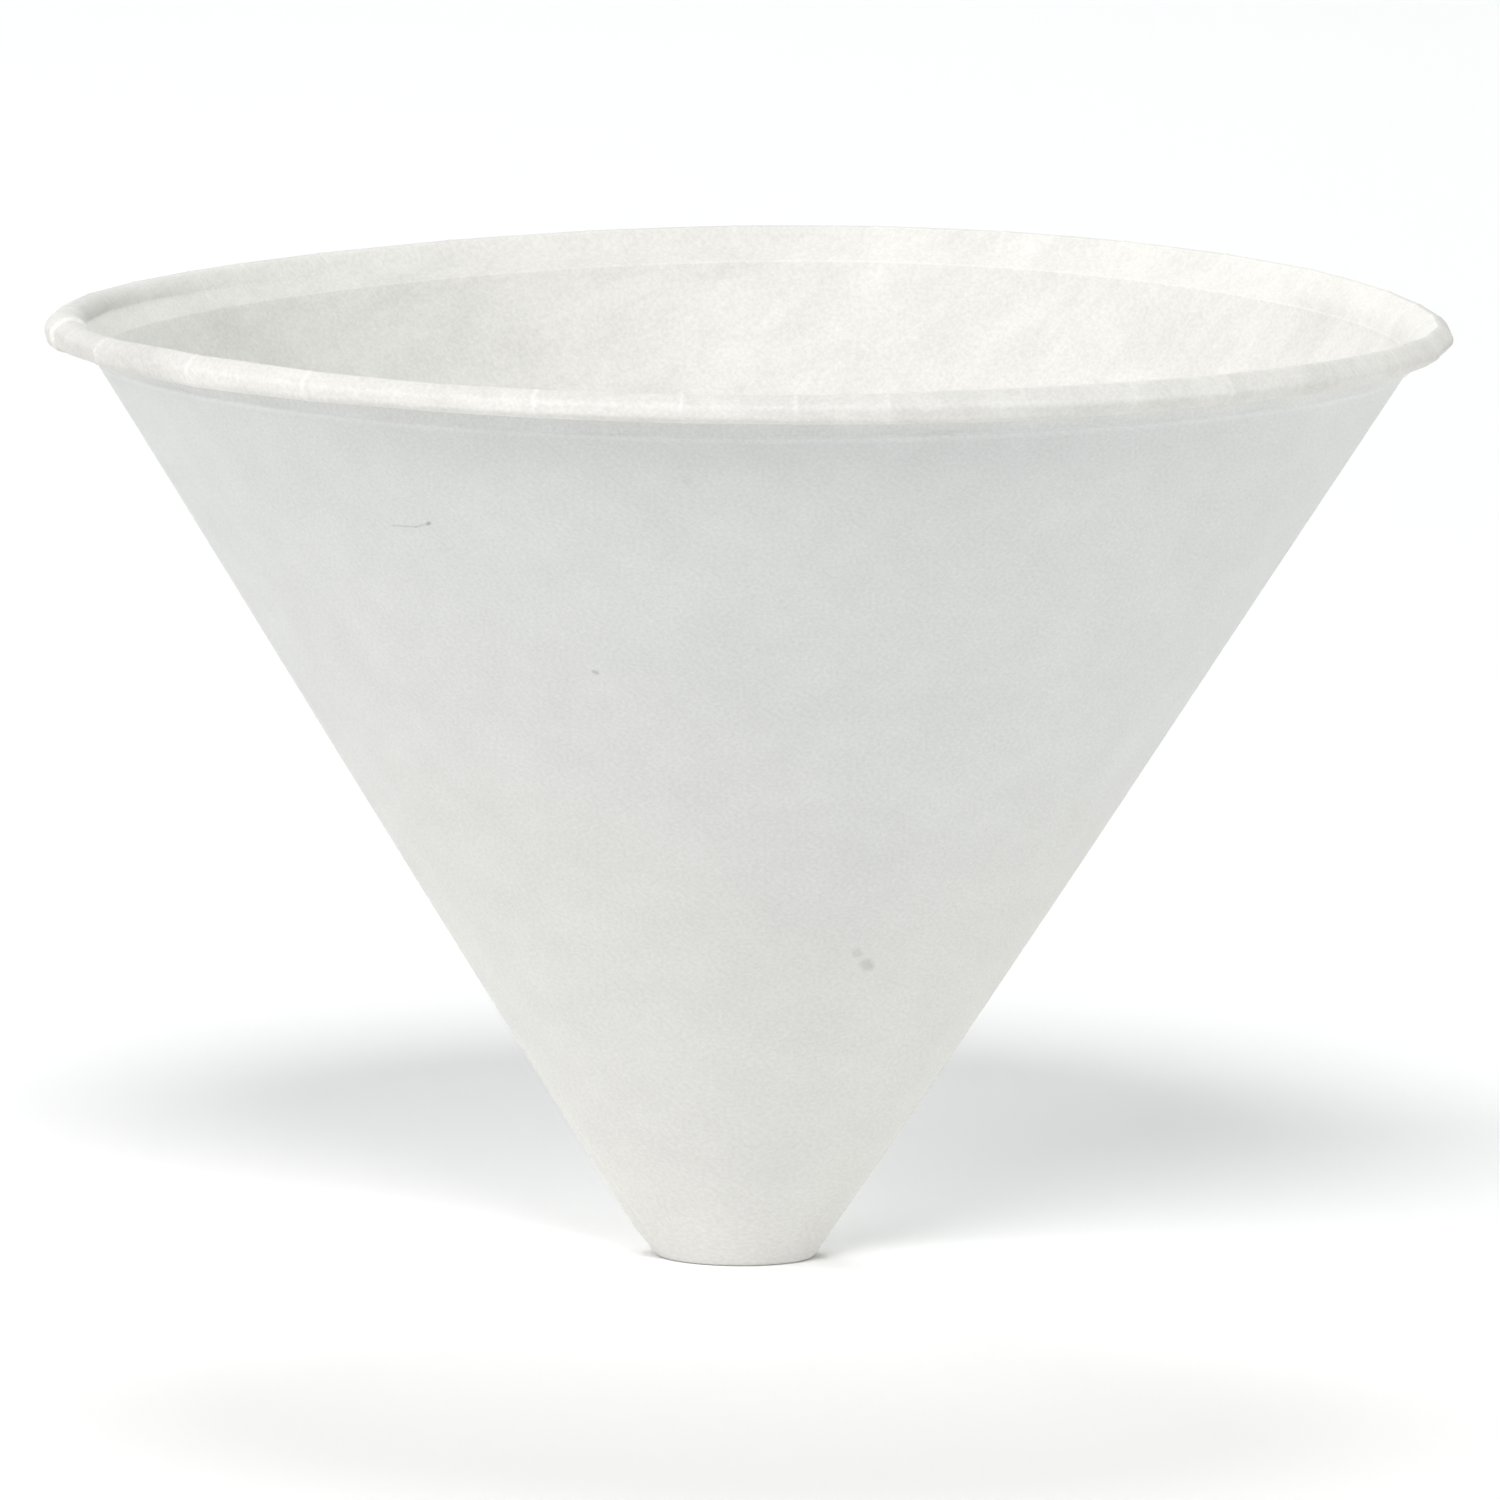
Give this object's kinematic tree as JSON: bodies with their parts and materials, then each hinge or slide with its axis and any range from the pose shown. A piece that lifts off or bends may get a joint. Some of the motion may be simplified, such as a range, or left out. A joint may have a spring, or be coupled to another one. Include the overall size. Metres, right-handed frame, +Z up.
{
  "type": "cone paper cup",
  "caption": "Funnel-shaped white paper cup with a flat blunt tip, a creased brim, an outward rolled rim with crimps and a lapped side seam.",
  "frame": {"origin": "centre of the underside of the flat tip, which the cup stands on", "axes": "+Z up along the cup's axis to the open rim, -Y is the front seen in the picture, +X the picture's right"},
  "size_m": [0.1192, 0.1186, 0.0803],
  "materials": {
    "cup_paper": "matt, soft, faintly mottled uncoated white paper"
  },
  "bodies": {
    "root": {"paper_cup": "cup_paper"}
  },
  "joints": []
}
